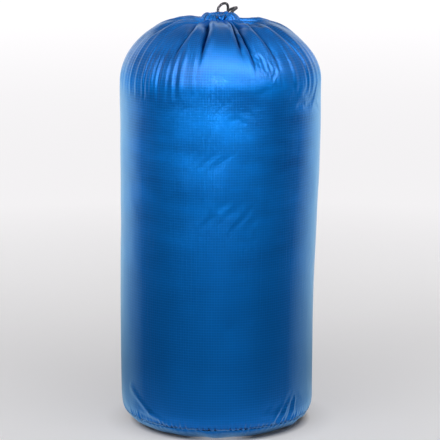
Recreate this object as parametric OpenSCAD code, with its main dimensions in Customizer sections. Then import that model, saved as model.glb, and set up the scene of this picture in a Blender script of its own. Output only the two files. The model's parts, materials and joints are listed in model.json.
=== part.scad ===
// Round drawstring stuff sack, packed full and standing on its base.
// Millimetres, +Z up. The origin is the middle of the base, on the floor.
// The front faces -Y. The cord lock and the hanging cord tails are at the back, +Y.

/* [Sack] */
// Largest diameter of the packed sack
sack_d = 214; // [208:1:224]
// Height from the floor to the flat top of the dome
sack_h = 436; // [410:1:470]
// Height of the rounded dome between the straight wall and its flat top
dome_h = 63; // [60:1:66]
// How much the radius narrows towards the lower half
waist_in = 3; // [0:0.5:5]
// Radius of the edge where the wall turns under the base
base_round = 28; // [24:1:32]
// Height of the seam between the side panel and the base panel
seam_z = 13; // [11:0.5:15]
// Modelled thickness of the fabric
fabric_t = 0.5; // [0.4:0.1:0.6]

/* [Drawcord channel] */
// Outer diameter of the gathered channel
channel_d = 41; // [40:0.5:42]
// Width of the channel between its inner and outer edge
channel_w = 10; // [9:0.5:11]
// Height of the channel above the dome
channel_h = 9; // [8:0.5:10]

/* [Drawcord] */
// Diameter of the braided cord
cord_d = 2.8; // [2.6:0.1:2.9]
// Height of the tall arch's feet above the top of the channel
arch_rise = 0.5; // [0:0.5:3]
// Length of the tails that hang below the pivot
tail_l = 78; // [60:1:100]

/* [Cord lock] */
// Diameter of the lock's barrel
barrel_d = 12; // [12:0.2:13]
// Travel of the plunger when it is pressed
press_travel = 4; // [3.5:0.1:4]
// How far the lock slides back along the cords
lock_travel = 18; // [10:1:18]

/* [Haul handle] */
// Width of the handle's webbing
webbing_w = 25; // [20:1:30]
// Thickness of the webbing
webbing_t = 1.8; // [1.2:0.1:2]
// Length of the middle part that lifts away from the base
grip_l = 120; // [100:1:130]

/* [Hidden] */
$fn = 96;

gap = 0.1;
big = 4 * sack_h;
sack_r = sack_d / 2;

// Outline of the packed form
dome_flat_r = 36;
dome_power = 1.9;
dome_z = sack_h - dome_h;
waist_z = 100;
foot_r = sack_r - waist_in - base_round;

// Gathered neck
neck_hole_r = channel_d / 2 - channel_w;
tunnel_ring_r = (channel_d - channel_w) / 2;
tunnel_r = 1.9;
exit_hole_r = 2.2;
channel_z = sack_h + gap;
tunnel_z = channel_z + 4.2;
channel_top_z = channel_z + channel_h;

// Cord route, in the plane x = cord_x behind the neck
cord_r = cord_d / 2;
cord_pitch = 3;
cord_x = 8.5;
tall_exit_angle = 98;
low_exit_angle = 40;
low_arch_rise = 2.5;
lock_z = sack_h - 5;
entry_y = 34;
entry_r = 7.5;
entry_z = lock_z + entry_r;
lock_y = entry_y + 1 + barrel_d / 2;
straight_end_y = lock_y + lock_travel + barrel_d / 2 + 0.5;
tail_stand_off = 5.5;
shoulder_r1 = 32;
shoulder_a1 = 40;
shoulder_r2 = (sack_r + tail_stand_off - straight_end_y
    - shoulder_r1 * sin(shoulder_a1)) / (1 - sin(shoulder_a1));
bend1_y = straight_end_y;
bend1_z = lock_z - shoulder_r1;
bend2_y = bend1_y + (shoulder_r1 - shoulder_r2) * sin(shoulder_a1);
bend2_z = bend1_z + (shoulder_r1 - shoulder_r2) * cos(shoulder_a1);
pivot_y = bend2_y + shoulder_r2;
pivot_z = bend2_z;
pivot_room = 3.2;
knot_r = 4.2;
tag_l = 12;

// Cord lock, measured along its own axis from its closed end
barrel_l = 17;
barrel_wall = 1.6;
plunger_d = 8.2;
slot_start = 7;
slot_l = 7;
slot_half_h = 3.2;
cap_start = barrel_l + press_travel + 0.3;
cap_l = 2.2;
cap_d = 11.2;
pinch_mid = slot_start + (press_travel + slot_l) / 2;
lock_x = cord_x - pinch_mid;
spring_start = barrel_wall + gap;
spring_end = slot_start + press_travel - 1.5 - gap;

// Hollow in the dome where the lock and the cords lie
hollow_r = 30;
hollow_bottom_z = lock_z - barrel_d / 2 - 3.5;
hollow_start_y = channel_d / 2 + 2;

// Threads stand this far off the fabric
thread_t = 0.35;
thread_w = 0.7;

// ---- outline ----

function wall_share(z) = min(1, max(0, (z - waist_z) / (dome_z - waist_z)));

function wall_r(z) =
    sack_r - waist_in * (1 + cos(180 * wall_share(z))) / 2;

// Points of the packed form's half outline, moved inwards by inset
function outline(inset) = concat(
    [[0, inset]],
    [for (a = [0:9:90])
        [foot_r + (base_round - inset) * sin(a),
         base_round - (base_round - inset) * cos(a)]],
    [for (i = [1:7])
        let (z = waist_z + (dome_z - waist_z) * (i - 1) / 6)
        [wall_r(z) - inset, z]],
    [for (a = [5:5:90])
        [dome_flat_r + (sack_r - dome_flat_r - inset)
            * pow(cos(a), 2 / dome_power),
         dome_z + (dome_h - inset) * pow(sin(a), 2 / dome_power)]],
    [[0, sack_h - inset]]);

module solid_of_revolution(inset)
    rotate_extrude() polygon(outline(inset));

module lock_hollow(grow)
    translate([cord_x, hollow_start_y - grow, hollow_bottom_z + hollow_r])
        rotate([-90, 0, 0])
            cylinder(r = hollow_r + grow, h = sack_r);

// Room for the webbing where it lies under the base
module webbing_groove(inset)
    difference() {
        half_w = webbing_w / 2 + 2 * gap + inset;
        translate([-big, -half_w, -big])
            cube([2 * big, 2 * half_w, big + seam_z]);
        solid_of_revolution(webbing_t + 2 * gap + inset);
    }

// The packed form without its fabric, hollow and groove included
module packed_form(inset)
    difference() {
        solid_of_revolution(inset);
        lock_hollow(inset);
        webbing_groove(inset);
    }

module fabric_shell()
    difference() {
        packed_form(0);
        packed_form(fabric_t);
    }

module slab(z0, z1)
    translate([-big, -big, z0]) cube([2 * big, 2 * big, z1 - z0]);

// A thin skin between two insets of the outline, such as a line of thread
module skin(outer_inset, inner_inset)
    difference() {
        solid_of_revolution(outer_inset);
        solid_of_revolution(inner_inset);
    }

// ---- fabric ----

module side_panel()
    color([0.02, 0.36, 0.72])
    difference() {
        intersection() {
            fabric_shell();
            slab(seam_z + gap, big);
        }
        translate([0, 0, sack_h - 5]) cylinder(r = neck_hole_r, h = 10);
    }

module base_panel()
    color([0.05, 0.33, 0.66])
    intersection() {
        fabric_shell();
        slab(-1, seam_z - gap);
    }

binding_in = 3;
binding_t = 1.5;
binding_half_h = 4;

module base_seam_binding()
    color([0.05, 0.06, 0.08])
    intersection() {
        skin(binding_in, binding_in + binding_t);
        slab(seam_z - binding_half_h, seam_z + binding_half_h);
    }

module base_seam_stitching()
    color([0.03, 0.25, 0.55])
    intersection() {
        skin(-thread_t, -gap / 2);
        slab(seam_z + 2.5, seam_z + 2.5 + thread_w);
    }

side_seam_x = -58;
seam_row_pitch = 6;

module side_seam_stitching()
    color([0.03, 0.25, 0.55])
    intersection() {
        skin(-thread_t, -gap / 2, $fn = 360);
        for (row = [0, 1])
            translate([side_seam_x + row * seam_row_pitch, 20, base_round])
                cube([thread_w, sack_r, dome_z - base_round]);
    }

// ---- gathered neck ----

module channel_section()
    translate([tunnel_ring_r, 0])
        polygon([for (a = [0:10:180])
            [channel_w / 2 * sign(cos(a)) * pow(abs(cos(a)), 0.6),
             channel_h * pow(sin(a), 0.6)]]);

module at_ring(angle)
    rotate([0, 0, angle]) translate([tunnel_ring_r, 0, tunnel_z]) children();

module drawcord_channel()
    color([0.03, 0.38, 0.75])
    difference() {
        translate([0, 0, channel_z]) rotate_extrude() channel_section();
        translate([0, 0, tunnel_z])
            rotate_extrude()
                translate([tunnel_ring_r, 0]) circle(r = tunnel_r);
        for (angle = [tall_exit_angle, low_exit_angle])
            at_ring(angle) cylinder(r = exit_hole_r, h = channel_h);
    }

module channel_stitching()
    color([0.03, 0.25, 0.55])
    translate([0, 0, channel_z])
        rotate_extrude()
            translate([channel_d / 2 + 0.6, 0])
                square([thread_w, thread_t]);

module buttonhole_stitching()
    color([0.03, 0.25, 0.55])
    for (angle = [tall_exit_angle, low_exit_angle])
        rotate([0, 0, angle])
            translate([tunnel_ring_r, 0, channel_top_z + gap])
                difference() {
                    cylinder(r = exit_hole_r + 0.9, h = thread_t);
                    translate([0, 0, -1]) cylinder(r = exit_hole_r, h = 2);
                }

// ---- drawcord ----

module cord_run(length) cylinder(r = cord_r, h = length);

// Arc of cord in a plane of constant x; angles run from +Y towards +Z
module cord_arc(y, z, radius, from, to)
    translate([cord_x, y, z])
        rotate([90, 0, 90])
            rotate([0, 0, from])
                rotate_extrude(angle = to - from)
                    translate([radius, 0]) circle(r = cord_r);

// Half circle of cord that stands upright between two points
module cord_arch(p, q)
    translate([(p[0] + q[0]) / 2, (p[1] + q[1]) / 2, p[2]])
        rotate([0, 0, atan2(q[1] - p[1], q[0] - p[0])])
            rotate([90, 0, 0])
                rotate_extrude(angle = 180)
                    translate([norm([q[0] - p[0], q[1] - p[1]]) / 2, 0])
                        circle(r = cord_r);

// Short bulge that joins two runs of cord end to end
module cord_joint() sphere(r = cord_r + gap);

// One leg of the cord: ring, up, over an arch, down and back through the lock
module cord_leg(exit_angle, arch_z, side) {
    exit = tunnel_ring_r * [cos(exit_angle), sin(exit_angle)];
    outward = side * cord_pitch / 2;
    drop_r = entry_r - outward;
    drop_y = entry_y - drop_r;
    bend1_r = shoulder_r1 + outward;
    last_angle = asin(pivot_room / shoulder_r2);
    at_ring(exit_angle) cord_run(arch_z - tunnel_z);
    cord_arch([exit[0], exit[1], arch_z], [cord_x, drop_y, arch_z]);
    translate([cord_x, drop_y, entry_z]) cord_run(arch_z - entry_z);
    cord_arc(entry_y, entry_z, drop_r, 180, 270);
    translate([cord_x, entry_y, lock_z + outward])
        rotate([-90, 0, 0]) cord_run(straight_end_y - entry_y);
    cord_arc(bend1_y, bend1_z, bend1_r, 90 - shoulder_a1, 90);
    cord_arc(bend2_y, bend2_z, shoulder_r2 + outward,
             last_angle, 90 - shoulder_a1);
    for (p = [[exit[0], exit[1], tunnel_z],
              [exit[0], exit[1], arch_z],
              [cord_x, drop_y, arch_z],
              [cord_x, drop_y, entry_z],
              [cord_x, entry_y, lock_z + outward],
              [cord_x, straight_end_y, lock_z + outward],
              [cord_x, bend1_y + bend1_r * sin(shoulder_a1),
               bend1_z + bend1_r * cos(shoulder_a1)]])
        translate(p) cord_joint();
}

module drawcord()
    color([0.06, 0.06, 0.08]) {
        translate([0, 0, tunnel_z])
            rotate([0, 0, tall_exit_angle])
                rotate_extrude(angle = 360 + low_exit_angle - tall_exit_angle)
                    translate([tunnel_ring_r, 0]) circle(r = cord_r);
        cord_leg(tall_exit_angle, channel_top_z + arch_rise, 1);
        cord_leg(low_exit_angle, tunnel_z + low_arch_rise, -1);
    }

module cord_tails()
    color([0.06, 0.06, 0.08])
    translate([cord_x, pivot_y, pivot_z]) {
        for (side = [-1, 1])
            translate([0, side * cord_pitch / 2, 0]) {
                sphere(r = cord_r);
                translate([0, 0, -tail_l - tag_l])
                    cord_run(tail_l + tag_l);
            }
        translate([0, 0, -tail_l]) sphere(r = knot_r);
    }

// ---- cord lock ----

module on_lock_axis()
    translate([lock_x, lock_y, lock_z]) rotate([0, 90, 0]) children();

// Passage for the two cords, along Y
module cord_slot(start)
    translate([-slot_half_h, -barrel_d, start])
        cube([2 * slot_half_h, 2 * barrel_d, slot_l]);

module chamfered_disc(d, l, c)
    rotate_extrude()
        polygon([[0, 0], [d / 2 - c, 0], [d / 2, c],
                 [d / 2, l - c], [d / 2 - c, l], [0, l]]);

module cord_lock_barrel()
    color([0.08, 0.08, 0.09])
    on_lock_axis()
        difference() {
            chamfered_disc(barrel_d, barrel_l, 0.8);
            translate([0, 0, barrel_wall])
                cylinder(d = plunger_d + 0.2, h = barrel_l);
            cord_slot(slot_start);
        }

module cord_lock_plunger()
    color([0.1, 0.1, 0.11])
    on_lock_axis() {
        stem_start = slot_start + press_travel - 1.5;
        difference() {
            translate([0, 0, stem_start])
                cylinder(d = plunger_d, h = cap_start - stem_start);
            cord_slot(slot_start + press_travel);
        }
        translate([0, 0, cap_start]) chamfered_disc(cap_d, cap_l, 0.6);
    }

spring_wire_r = 0.3;
spring_r = 3;
spring_turns = 4;
ring_steps = 16;
wire_sides = 6;

// Point on the wire's surface, for step i along the coil and side j round it
function coil_point(i, j, length) =
    let (turn = 360 * i / ring_steps,
         r = spring_r + spring_wire_r * cos(360 * j / wire_sides),
         rise = spring_wire_r
             + (length - 2 * spring_wire_r) * i / (spring_turns * ring_steps))
    [r * cos(turn), r * sin(turn),
     rise + spring_wire_r * sin(360 * j / wire_sides)];

module cord_lock_spring()
    color([0.7, 0.7, 0.72])
    on_lock_axis()
        translate([0, 0, spring_start]) {
            n = spring_turns * ring_steps;
            length = spring_end - spring_start;
            points = [for (i = [0:n]) for (j = [0:wire_sides - 1])
                coil_point(i, j, length)];
            sides = [for (i = [0:n - 1]) for (j = [0:wire_sides - 1])
                let (a = i * wire_sides + j,
                     b = i * wire_sides + (j + 1) % wire_sides)
                [a, b, b + wire_sides, a + wire_sides]];
            first = [for (j = [wire_sides - 1:-1:0]) j];
            last = [for (j = [0:wire_sides - 1]) n * wire_sides + j];
            polyhedron(points, concat(sides, [first, last]));
        }

// ---- haul handle ----

// The whole strap of webbing, following the base from seam to seam
module webbing_strap()
    intersection() {
        skin(0, webbing_t);
        translate([-big, -webbing_w / 2, -1])
            cube([2 * big, webbing_w, 1 + seam_z - 2 * gap]);
    }

module between_x(x0, x1)
    translate([x0, -big, -big]) cube([x1 - x0, 2 * big, 2 * big]);

module handle_webbing_ends()
    color([0.05, 0.05, 0.06])
    difference() {
        webbing_strap();
        between_x(-grip_l / 2 - gap, grip_l / 2 + gap);
    }

module handle_grip()
    color([0.05, 0.05, 0.06])
    intersection() {
        webbing_strap();
        between_x(-grip_l / 2, grip_l / 2);
    }

bartack_x = 86;
bartack_pitch = 6;
bartack_w = 1.5;

module handle_bartacks()
    color([0.12, 0.12, 0.14])
    intersection() {
        skin(-thread_t, -gap / 2);
        for (side = [-1, 1])
            for (row = [0, 1])
                translate([side * (bartack_x + row * bartack_pitch)
                               - bartack_w / 2,
                           -webbing_w / 2 + 2, -1])
                    cube([bartack_w, webbing_w - 4, seam_z]);
    }

// ---- contents ----

module packed_filling()
    color([0.3, 0.34, 0.4])
    difference() {
        packed_form(fabric_t + gap);
        intersection() {
            skin(binding_in - gap, binding_in + binding_t + gap);
            slab(seam_z - binding_half_h - gap,
                 seam_z + binding_half_h + gap);
        }
    }

side_panel();
base_panel();
base_seam_binding();
base_seam_stitching();
side_seam_stitching();
drawcord_channel();
channel_stitching();
buttonhole_stitching();
drawcord();
cord_tails();
cord_lock_barrel();
cord_lock_plunger();
cord_lock_spring();
handle_webbing_ends();
handle_grip();
handle_bartacks();
packed_filling();
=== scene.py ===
"""Looks for a packed drawstring stuff sack: ripstop fabric, gathered neck, cord, webbing and stitching.

All lengths are metres in the CAD frame; MM turns millimetres into metres. The front faces -Y, and an
angle round the sack is 0 at the front and grows towards +X.
"""

import json
import math

import bpy
import numpy as np
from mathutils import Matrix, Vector


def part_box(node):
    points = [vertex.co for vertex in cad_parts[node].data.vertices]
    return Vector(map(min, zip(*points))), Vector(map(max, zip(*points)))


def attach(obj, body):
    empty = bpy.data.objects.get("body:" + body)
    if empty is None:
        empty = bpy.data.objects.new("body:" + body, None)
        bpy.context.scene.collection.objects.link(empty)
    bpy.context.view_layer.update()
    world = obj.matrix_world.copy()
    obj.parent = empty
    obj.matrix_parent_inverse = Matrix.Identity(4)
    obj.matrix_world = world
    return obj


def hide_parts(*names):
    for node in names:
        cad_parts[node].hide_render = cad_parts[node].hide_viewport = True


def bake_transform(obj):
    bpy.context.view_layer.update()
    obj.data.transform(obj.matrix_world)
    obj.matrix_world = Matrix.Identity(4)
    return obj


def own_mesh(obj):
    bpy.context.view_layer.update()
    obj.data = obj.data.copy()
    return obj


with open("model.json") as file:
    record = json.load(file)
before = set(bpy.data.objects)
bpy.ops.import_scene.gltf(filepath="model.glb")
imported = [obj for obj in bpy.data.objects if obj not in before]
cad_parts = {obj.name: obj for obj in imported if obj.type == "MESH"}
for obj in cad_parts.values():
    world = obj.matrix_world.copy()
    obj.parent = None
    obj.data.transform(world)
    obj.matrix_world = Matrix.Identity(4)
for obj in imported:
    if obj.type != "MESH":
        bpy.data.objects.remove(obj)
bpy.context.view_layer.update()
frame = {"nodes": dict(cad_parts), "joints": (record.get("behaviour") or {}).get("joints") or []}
NODES = frame["nodes"]
MM = 0.001

# ---- places taken from the frame ----

side_lo, side_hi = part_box("side_panel")
channel_lo, channel_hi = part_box("drawcord_channel")
barrel_lo, barrel_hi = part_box("cord_lock_barrel")
binding_lo, binding_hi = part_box("base_seam_binding")
grip_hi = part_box("handle_grip")[1]
base_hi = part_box("base_panel")[1]
tacks_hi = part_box("handle_bartacks")[1]

SACK_R = side_hi.x
SACK_TOP = side_hi.z
SEAM_Z = (side_lo.z + base_hi.z) / 2
CHANNEL_R = channel_hi.x
CHANNEL_FOOT = channel_lo.z
CHANNEL_TOP = channel_hi.z
LOCK = (barrel_lo + barrel_hi) / 2
PIVOT = next(Vector(j["pos_m"]) for j in frame["joints"] if j["name"] == "tail_swing")
WEB_T = grip_hi.z
WEB_HALF = grip_hi.y

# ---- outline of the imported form, as in the CAD ----

DOME_H = 63 * MM
DOME_FLAT_R = 36 * MM
DOME_POWER = 1.9
WAIST_IN = 3 * MM
WAIST_Z = 100 * MM
BASE_ROUND = 28 * MM
FOOT_R = SACK_R - WAIST_IN - BASE_ROUND
DOME_Z = SACK_TOP - DOME_H
COLLAR_FOOT_R = 18.5 * MM
SEAM_ANGLE = math.acos(1 - SEAM_Z / BASE_ROUND)
BASE_EDGE_R = FOOT_R + BASE_ROUND * math.sin(SEAM_ANGLE)
# the cloth's foot is this far to the left of its neck; the CAD stands upright
LEAN = 3.2 * MM

# ---- cord route, as in the CAD ----

CORD_R = 1.4 * MM
CORD_PITCH = 3 * MM
CORD_X = PIVOT.x
RING_R = CHANNEL_R - 5 * MM
RING_Z = CHANNEL_FOOT + 4.2 * MM
TALL_EXIT = math.radians(98)
LOW_EXIT = math.radians(40)
TALL_ARCH_Z = CHANNEL_TOP + 0.5 * MM
LOW_ARCH_Z = RING_Z + 2.5 * MM
ENTRY_Y = LOCK.y - 7 * MM
ENTRY_R = 7.5 * MM
STRAIGHT_END_Y = LOCK.y + 24.5 * MM
SHOULDER_R = 32 * MM
SHOULDER_ANGLE = math.radians(40)
KNOT_Z = PIVOT.z - 78 * MM
TAG_L = 12 * MM

# ---- small numeric helpers ----


def smooth(x, low, high):
    """0 below low, 1 above high, with a smooth step between."""
    t = np.clip((np.asarray(x, float) - low) / (high - low), 0, 1)
    return t * t * (3 - 2 * t)


def bump(x, centre, half_width):
    """1 at centre, falling smoothly to 0 at half_width away."""
    t = np.clip(np.abs(np.asarray(x, float) - centre) / half_width, 0, 1)
    return (1 - t * t) ** 2


def wrap(angle):
    """An angle in radians brought into -pi..pi."""
    return (np.asarray(angle, float) + math.pi) % (2 * math.pi) - math.pi


def lengths_along(points):
    """The length of the path up to each of its points."""
    return np.concatenate([[0], np.cumsum(np.linalg.norm(np.diff(points, axis=0), axis=1))])


def turns(columns, rows=1):
    """The angles of a closed grid's columns, the same in each row."""
    theta = np.linspace(-math.pi, math.pi, columns, endpoint=False)
    return np.repeat(theta[None, :], rows, axis=0)


def round_points(r, theta, z):
    """Points at a radius, an angle and a height."""
    return np.stack([r * np.sin(theta), -r * np.cos(theta), z + 0 * theta], axis=-1)


class Ripples:
    """Smooth random waves over a closed angle and a length, the same on every run."""

    def __init__(self, seed, turns, waves, count=14):
        rng = np.random.default_rng(seed)
        self.turns = rng.integers(turns[0], turns[1] + 1, count)
        self.waves = rng.uniform(waves[0], waves[1], count)
        self.phase = rng.uniform(0, 2 * math.pi, count)
        self.size = rng.uniform(0.5, 1.0, count)
        self.size /= math.sqrt((self.size**2).sum() / 2)

    def __call__(self, angle, length):
        total = 0.0
        for k, w, p, a in zip(self.turns, self.waves, self.phase, self.size):
            total = total + a * np.sin(k * angle + w * length + p)
        return total


# ---- mesh helpers ----


def new_object(name, points, faces, material=None):
    """An object from points, which may still be in the rows of a grid."""
    mesh = bpy.data.meshes.new(name)
    mesh.from_pydata([tuple(v) for v in np.reshape(points, (-1, 3))], [], faces)
    mesh.polygons.foreach_set("use_smooth", [True] * len(mesh.polygons))
    mesh.materials.append(material)
    mesh.update()
    obj = bpy.data.objects.new(name, mesh)
    bpy.context.scene.collection.objects.link(obj)
    return obj


def grid_faces(rows, columns):
    """Quads of a grid whose rows are closed rings."""
    faces = []
    for j in range(rows - 1):
        for i in range(columns):
            k = (i + 1) % columns
            a, b = j * columns + i, j * columns + k
            faces.append((a, b, b + columns, a + columns))
    return faces


def first_cap(columns):
    """The face that closes a grid's first ring."""
    return tuple(range(columns - 1, -1, -1))


def last_cap(rows, columns):
    """The face that closes a grid's last ring."""
    return tuple(range((rows - 1) * columns, rows * columns))


def capped_faces(rows, columns):
    return grid_faces(rows, columns) + [first_cap(columns), last_cap(rows, columns)]


def add_attribute(obj, name, values):
    attribute = obj.data.attributes.new(name, "FLOAT", "POINT")
    attribute.data.foreach_set("value", np.asarray(values, np.float32).ravel())


def solidify(obj, thickness):
    """Gives a sheet its thickness, inwards, as mesh."""
    modifier = obj.modifiers.new("thickness", "SOLIDIFY")
    modifier.thickness = thickness
    modifier.offset = -1.0
    depsgraph = bpy.context.evaluated_depsgraph_get()
    mesh = bpy.data.meshes.new_from_object(obj.evaluated_get(depsgraph))
    obj.modifiers.clear()
    obj.data = mesh


def finish_piece(obj, node, body="root"):
    """The piece stands for a CAD node, and moves with a body."""
    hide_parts(node)
    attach(obj, body)
    return obj


def arc(centre, u, v, radius, start, end, step=0.6 * MM):
    """Points along an arc in the plane of the unit vectors u and v."""
    count = max(3, int(abs(end - start) * radius / step))
    return [
        centre + radius * (math.cos(a) * u + math.sin(a) * v)
        for a in np.linspace(start, end, count)
    ]


def even_path(points, step, softness):
    """The polyline through the points, at even steps, with its corners softened."""
    points = np.array([tuple(p) for p in points])
    length = lengths_along(points)
    keep = np.concatenate([[True], np.diff(length) > 1e-7])
    points, length = points[keep], length[keep]
    stops = np.linspace(0, length[-1], int(length[-1] / step) + 1)
    path = np.stack([np.interp(stops, length, points[:, k]) for k in range(3)], axis=1)
    for _ in range(softness):
        path[1:-1] = (path[:-2] + 2 * path[1:-1] + path[2:]) / 4
    return path, stops


def path_frames(path):
    """Two directions across the path at each point, without twist."""
    tangent = np.gradient(path, axis=0)
    tangent /= np.linalg.norm(tangent, axis=1)[:, None]
    side = np.cross(tangent[0], (0.31, 0.52, 0.79))
    sides = []
    for t in tangent:
        side = side - t * (side @ t)
        side = side / np.linalg.norm(side)
        sides.append(side)
    sides = np.array(sides)
    return sides, np.cross(tangent, sides)


def tube_mesh(path, radius, sides):
    """Vertices and faces of a closed tube; radius is one row of values per path point."""
    u, v = path_frames(path)
    phi = np.linspace(0, 2 * math.pi, sides, endpoint=False)
    ring = np.cos(phi)[None, :, None] * u[:, None, :] + np.sin(phi)[None, :, None] * v[:, None, :]
    verts = path[:, None, :] + radius[:, :, None] * ring
    return verts.reshape(-1, 3), capped_faces(len(path), sides)


class Parts:
    """Gathers several closed shapes into the one mesh of a piece."""

    def __init__(self):
        self.verts, self.faces, self.values, self.count = [], [], {}, 0

    def add(self, verts, faces, **values):
        self.verts.append(np.asarray(verts))
        self.faces += [tuple(i + self.count for i in face) for face in faces]
        self.count += len(verts)
        for name, value in values.items():
            self.values.setdefault(name, []).append(np.asarray(value).ravel())

    def build(self, name, material):
        obj = new_object(name, np.vstack(self.verts), self.faces, material)
        for key, value in self.values.items():
            add_attribute(obj, key, np.concatenate(value))
        return obj

    def sewn(self, name, material, node, slot="thread_blue"):
        """Builds a piece of stitching."""
        return finish_piece(self.build(name, material), node)


class Sheet:
    """A grid of points round the sack that can be asked for any place on it."""

    def __init__(self, points, theta, stops):
        self.points, self.stops = points, stops
        self.first, self.columns = theta[0, 0], points.shape[1]

    def at(self, theta, stop):
        """The point at an angle and at a length along the outline."""
        row = float(np.interp(stop, self.stops, np.arange(len(self.stops))))
        j = min(int(row), len(self.stops) - 2)
        column = (theta - self.first) / (2 * math.pi) * self.columns
        i = int(math.floor(column))
        a, b = i % self.columns, (i + 1) % self.columns
        low = self.points[j, a] + (self.points[j, b] - self.points[j, a]) * (column - i)
        high = self.points[j + 1, a] + (self.points[j + 1, b] - self.points[j + 1, a]) * (column - i)
        return low + (high - low) * (row - j)

    def place(self, theta, stop):
        """The point and its outward normal."""
        here = self.at(theta, stop)
        along = self.at(theta, stop + 1 * MM) - self.at(theta, stop - 1 * MM)
        across = self.at(theta + 0.01, stop) - self.at(theta - 0.01, stop)
        normal = np.cross(across, along)
        return here, normal / np.linalg.norm(normal)


STITCH_RINGS = 7
STITCH_SIDES = 6
# the part of each step that is covered by thread
STITCH_SHARE = 0.72


def add_stitch(parts, start, end, normal, width):
    """One stitch: a short thread that rises out of the cloth and goes back into it."""
    t = np.linspace(0, 1, STITCH_RINGS)[:, None]
    rise = np.sin(math.pi * t) ** 0.6
    path = start + (end - start) * t + normal * (rise * 0.5 - 0.25) * width
    thick = np.repeat(width / 2 * (0.45 + 0.55 * rise), STITCH_SIDES, axis=1)
    parts.add(*tube_mesh(path, thick, STITCH_SIDES))


def stitch_line(parts, places, width):
    """Stitches along a list of (point, normal), one for each gap between neighbours."""
    for (start, normal), (end, _) in zip(places[:-1], places[1:]):
        add_stitch(parts, start, start + (end - start) * STITCH_SHARE, normal, width)


# ---- materials ----


class Shader:
    """A short way to write the nodes of a material or a world, which is its owner."""

    def __init__(self, name, kind="materials", surface="Principled BSDF"):
        self.owner = getattr(bpy.data, kind).new(name)
        self.owner.use_nodes = True
        self.tree = self.owner.node_tree
        self.surface = self.tree.nodes[surface]

    def add(self, kind, inputs=(), **settings):
        """A new node, with its inputs by name or in their own order."""
        node = self.tree.nodes.new(kind)
        for key, value in settings.items():
            setattr(node, key, value)
        for key, value in inputs.items() if isinstance(inputs, dict) else enumerate(inputs):
            self.put(node.inputs[key], value)
        return node

    def put(self, socket, value):
        if isinstance(value, bpy.types.NodeSocket):
            self.tree.links.new(value, socket)
        else:
            socket.default_value = value

    def set(self, **inputs):
        for key, value in inputs.items():
            self.put(self.surface.inputs[key.replace("_", " ")], value)

    def attribute(self, name):
        return self.add("ShaderNodeAttribute", attribute_name=name).outputs["Fac"]

    def maths(self, operation, a, b=0.0, c=0.0):
        return self.add("ShaderNodeMath", (a, b, c), operation=operation).outputs[0]

    def times(self, a, b):
        return self.maths("MULTIPLY", a, b)

    def axes(self, vector):
        return self.add("ShaderNodeSeparateXYZ", (vector,)).outputs

    def vector(self, *values):
        return self.add("ShaderNodeCombineXYZ", values).outputs[0]

    def between(self, value, low, high, to_low=0.0, to_high=1.0):
        """to_low at low, to_high at high, and a straight ramp between."""
        return self.add("ShaderNodeMapRange", (value, low, high, to_low, to_high)).outputs[0]

    def noise(self, scale, detail=3.0, vector=None):
        source = vector or self.add("ShaderNodeTexCoord").outputs["Object"]
        inputs = {"Vector": source, "Scale": scale, "Detail": detail}
        return self.add("ShaderNodeTexNoise", inputs).outputs["Fac"]

    def mix(self, factor, a, b):
        return self.add("ShaderNodeMix", {0: factor, 6: a, 7: b}, data_type="RGBA").outputs[2]

    def grid_line(self, length, pitch, width):
        """1 on thin lines that repeat every pitch along a length, else 0, with soft edges."""
        return self.between(self.maths("PINGPONG", length, pitch / 2), 0.0, width, 1.0, 0.0)

    def weave(self, across, along, pitch):
        """The waves of crossing yarns, from -1 to 1."""
        waves = [self.maths("SINE", self.times(way, 2 * math.pi / pitch)) for way in (across, along)]
        return self.times(*waves)

    def bump(self, height, distance, strength=1.0, normal=None):
        inputs = {"Height": height, "Distance": distance, "Strength": strength}
        if normal is not None:
            inputs["Normal"] = normal
        return self.add("ShaderNodeBump", inputs).outputs["Normal"]


def scaled(colour, factor, lift=0.0):
    """A colour made lighter or darker."""
    return tuple(min(1.0, c * factor + lift) for c in colour[:3]) + (1,)


RIPSTOP_PITCH = 2.8 * MM
RIPSTOP_LINE = 0.45 * MM
RIPSTOP_YARN = 0.35 * MM
WEBBING_YARN = 0.7 * MM
# how often the noise repeats along each axis, per metre
SHEEN_PATCH_SCALE = (11.0, 11.0, 31.0)
STREAK_SCALE = (420.0, 22.0)
# painted sheen on the wall where it turns away
PAINTED_EDGE_SHEEN = (0.26, 0.56, 1.0, 1)
CREASE_SHADE = (0.0, 0.02, 0.13, 1)
SHEEN_TINT = (0.15, 0.82, 1.0, 1)
STUDIO_WHITE = (1.0, 0.985, 1.0, 1)


def painted_sheen_patches(s, place, deep, light):
    """Painted sheen of gentle wrinkles: soft level patches between two blues, stronger on the upper
    half.
    """
    level = s.vector(*[s.times(axis, scale) for axis, scale in zip(place, SHEEN_PATCH_SCALE)])
    sheen_patch = s.maths("SUBTRACT", s.between(s.noise(1.0, 3.0, level), 0.33, 0.67), 0.5)
    sheen_patch = s.times(sheen_patch, s.between(place["Z"], 0.14, 0.3, 0.15, 1.0))
    return s.mix(s.maths("ADD", sheen_patch, 0.5), deep, light)


def ripstop_relief(s, lines, ways):
    """The grid's raised threads, the weave between them, and fine streaks down the cloth."""
    threads = s.maths("MULTIPLY_ADD", s.weave(*ways, RIPSTOP_YARN), 0.25, lines)
    streak = s.vector(*[s.times(way, scale) for way, scale in zip(ways, STREAK_SCALE)])
    normal = s.bump(threads, 0.06 * MM, 0.6)
    normal = s.bump(s.noise(160.0, 2.0), 0.5 * MM, 0.2, normal)
    return s.bump(s.noise(1.0, 3.0, streak), 0.35 * MM, 0.75, normal)


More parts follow.
